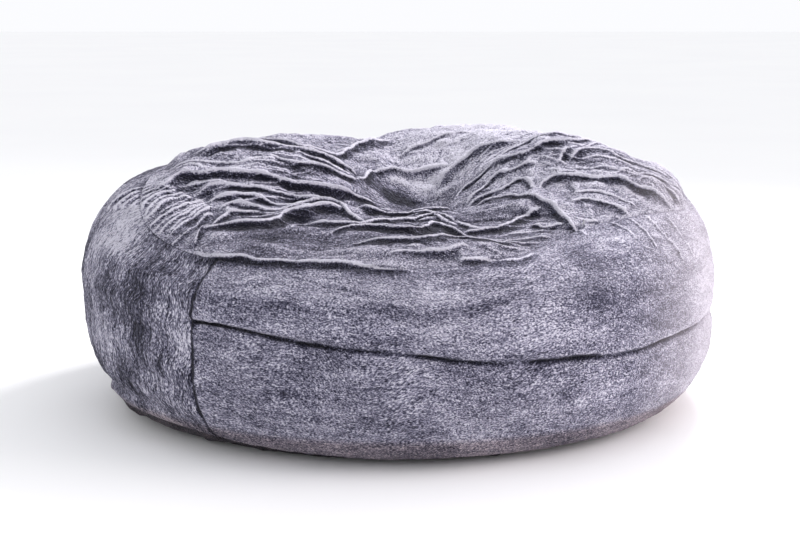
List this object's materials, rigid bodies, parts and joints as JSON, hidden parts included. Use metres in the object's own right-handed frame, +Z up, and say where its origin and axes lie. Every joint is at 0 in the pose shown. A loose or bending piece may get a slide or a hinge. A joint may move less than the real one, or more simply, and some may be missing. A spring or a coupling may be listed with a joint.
{
  "type": "bean bag chair",
  "caption": "Large round foam-filled floor lounger with a sewn plush fur cover, slumped top with a central hollow, inner liner and zips at the back.",
  "frame": {"origin": "on the floor under the middle of the round base", "axes": "+Z up, -Y towards the front (the low, slumped side of the seat), +X to the right of someone facing the front"},
  "size_m": [1.83, 1.83, 0.7636],
  "materials": {
    "fur": "plush short fur, grey with a lilac cast",
    "fur_side": "plush short fur, pile running up and down",
    "base_cloth": "dark woven base cloth",
    "liner_cloth": "plain woven cotton",
    "foam": "shredded polyurethane foam",
    "zip_tape": "woven tape",
    "zip_coil": "nylon coil",
    "zip_metal": "satin nickel",
    "label": "blank woven label"
  },
  "bodies": {
    "bag": {"cover_top_panel": "fur", "cover_left_panel": "fur_side", "cover_front_upper_band": "fur", "cover_front_lower_band": "fur", "cover_back_upper_band": "fur", "cover_back_lower_band": "fur", "cover_base_panel": "base_cloth", "cover_zip_tape_upper": "zip_tape", "cover_zip_tape_lower": "zip_tape", "cover_zip_coil_upper": "zip_coil", "cover_zip_coil_lower": "zip_coil", "cover_zip_top_stop_upper": "zip_metal", "cover_zip_top_stop_lower": "zip_metal", "cover_zip_bottom_stop": "zip_metal", "cover_care_label": "label", "liner_top_panel": "liner_cloth", "liner_front_wall": "liner_cloth", "liner_back_upper_wall": "liner_cloth", "liner_back_lower_wall": "liner_cloth", "liner_base_panel": "liner_cloth", "liner_zip_tape_upper": "zip_tape", "liner_zip_tape_lower": "zip_tape", "liner_zip_coil_upper": "zip_coil", "liner_zip_coil_lower": "zip_coil", "foam_fill": "foam"},
    "cover_slider": {"cover_zip_slider": "zip_metal"},
    "cover_pull": {"cover_zip_pull_tab": "zip_metal"},
    "liner_slider": {"liner_zip_slider": "zip_metal"}
  },
  "joints": [
    {"name": "cover_zip_travel", "type": "hinge", "parent": "bag", "child": "cover_slider", "pos_m": [0, 0, 0.305], "axis": [0, 0, 1], "range_deg": [-90, 0]},
    {"name": "cover_pull_swing", "type": "hinge", "parent": "cover_slider", "child": "cover_pull", "pos_m": [-0.52736, 0.72585, 0.305], "axis": [0, 0, 1], "range_deg": [0, 170]},
    {"name": "liner_zip_travel", "type": "hinge", "parent": "bag", "child": "liner_slider", "pos_m": [0, 0, 0.22], "axis": [0, 0, 1], "range_deg": [-46, 0]}
  ]
}
